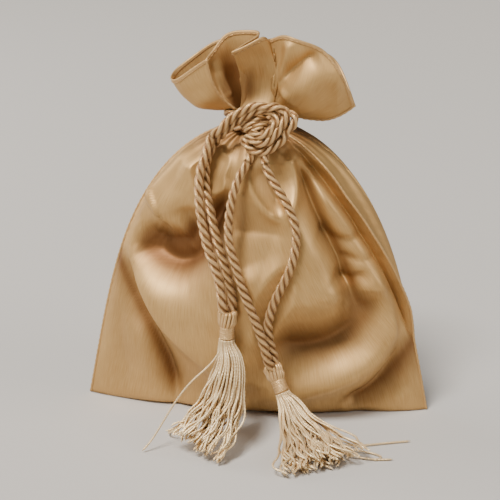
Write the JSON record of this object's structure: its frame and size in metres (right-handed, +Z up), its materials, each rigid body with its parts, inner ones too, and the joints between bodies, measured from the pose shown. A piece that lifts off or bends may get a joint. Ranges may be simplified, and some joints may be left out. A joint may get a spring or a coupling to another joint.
{
  "type": "fabric gift sack",
  "caption": "Filled satin drawstring gift sack with a tied neck, a frilled mouth and tasselled rope drawstrings.",
  "frame": {"origin": "on the table under the middle of the filled sack", "axes": "+Z up, -Y towards the front with the knot and the tassels, +X to the right seen from the front"},
  "size_m": [0.1588, 0.1086, 0.1734],
  "materials": {
    "satin": "champagne gold satin weave",
    "thread": "sewing thread",
    "cord": "lustrous twisted rayon rope",
    "floss": "lustrous rayon tassel strands"
  },
  "bodies": {
    "sack": {"front_panel": "satin", "back_panel": "satin", "left_side_seam": "satin", "right_side_seam": "satin", "bottom_seam": "satin", "drawstring_casing": "satin", "lower_neck_loop": "cord", "upper_neck_loop": "cord", "cord_knot": "cord"},
    "frill": {"front_frill": "satin", "back_frill": "satin", "front_mouth_hem": "satin", "back_mouth_hem": "satin"},
    "left_tail": {"left_cord_outer": "cord", "left_cord_inner": "cord"},
    "right_tail": {"right_cord_inner": "cord", "right_cord_outer": "cord"},
    "left_tassel": {"left_tassel_head": "cord", "left_tassel_binding": "floss", "left_tassel_skirt": "floss"},
    "right_tassel": {"right_tassel_head": "cord", "right_tassel_binding": "floss", "right_tassel_skirt": "floss"}
  },
  "joints": [
    {"name": "frill_nod", "type": "hinge", "parent": "sack", "child": "frill", "pos_m": [0, 0, 0.141], "axis": [1, 0, 0], "range_deg": [-18, 4], "stiffness_Nm_per_rad": 0.05},
    {"name": "left_tail_swing", "type": "hinge", "parent": "sack", "child": "left_tail", "pos_m": [-0.012, -0.019, 0.134], "axis": [-1, 0, 0], "range_deg": [0, 60]},
    {"name": "right_tail_swing", "type": "hinge", "parent": "sack", "child": "right_tail", "pos_m": [0.003, -0.023, 0.129], "axis": [-1, 0, 0], "range_deg": [0, 60]},
    {"name": "left_tassel_swing", "type": "hinge", "parent": "left_tail", "child": "left_tassel", "pos_m": [-0.0085, -0.0355, 0.0555], "axis": [-1, 0, 0], "range_deg": [0, 50]},
    {"name": "right_tassel_swing", "type": "hinge", "parent": "right_tail", "child": "right_tassel", "pos_m": [0.0116, -0.0312, 0.0289], "axis": [-1, 0, 0], "range_deg": [0, 50]}
  ]
}
